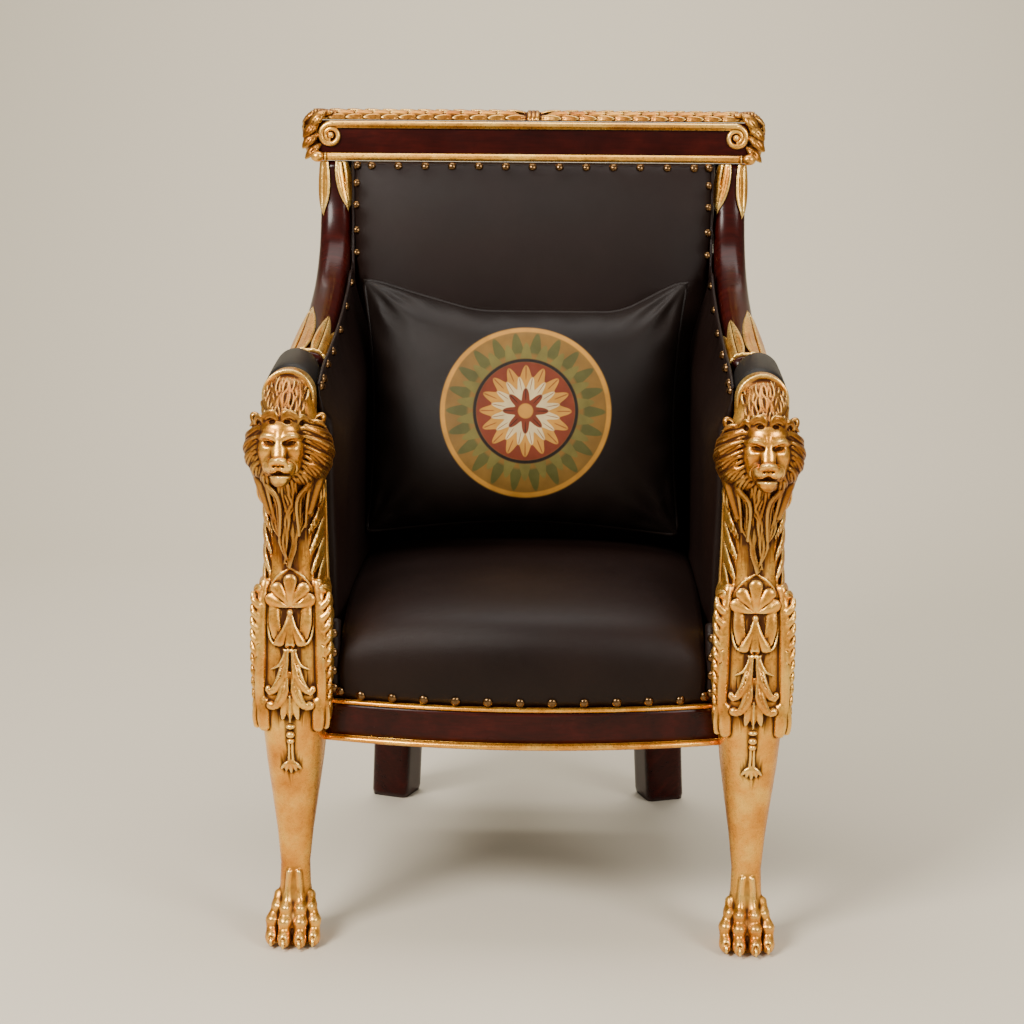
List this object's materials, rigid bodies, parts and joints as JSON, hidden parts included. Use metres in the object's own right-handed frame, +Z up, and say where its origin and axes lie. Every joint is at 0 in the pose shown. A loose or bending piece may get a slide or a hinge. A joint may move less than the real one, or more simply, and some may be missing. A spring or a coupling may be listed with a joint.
{
  "type": "throne armchair",
  "caption": "Empire style throne armchair: gilded lion monopodia carry padded arms that sweep up to a mahogany crest, with leather upholstery and a loose cushion",
  "frame": {"origin": "on the floor, at the middle of the throne's footprint box", "axes": "+Z up, the throne faces -Y, +X to the right as one looks at its front"},
  "size_m": [0.7344, 0.7528, 1.099],
  "materials": {
    "gilt": "carved wood, antique gold leaf, bright on the high places and brown in the hollows",
    "mahogany": "dark red mahogany under a high gloss polish",
    "leather": "very dark brown leather with a fine grain and a soft sheen",
    "arm_leather": "black leather, matt",
    "cushion_leather": "very dark brown leather with a painted medallion on the front",
    "nails": "domed upholstery nails, antique brass"
  },
  "bodies": {
    "root": {"lion_monopodium_left": "gilt", "lion_monopodium_right": "gilt", "leaf_collar_lower_left": "gilt", "leaf_collar_lower_right": "gilt", "leaf_collar_upper_left": "gilt", "leaf_collar_upper_right": "gilt", "crest_moulding_bottom": "gilt", "crest_moulding_top": "gilt", "crest_garland": "gilt", "seat_bead_upper": "gilt", "seat_bead_lower": "gilt", "arm_post_left": "mahogany", "arm_post_right": "mahogany", "crest_rail": "mahogany", "seat_rail_front": "mahogany", "seat_rail_side_left": "mahogany", "seat_rail_side_right": "mahogany", "seat_rail_back": "mahogany", "rear_leg_left": "mahogany", "rear_leg_right": "mahogany", "seat_upholstery": "leather", "back_pad": "leather", "side_pad_left": "leather", "side_pad_right": "leather", "outer_back_panel": "leather", "outer_side_panel_left": "leather", "outer_side_panel_right": "leather", "arm_pad_left": "arm_leather", "arm_pad_right": "arm_leather", "loose_cushion": "cushion_leather"}
  },
  "joints": []
}
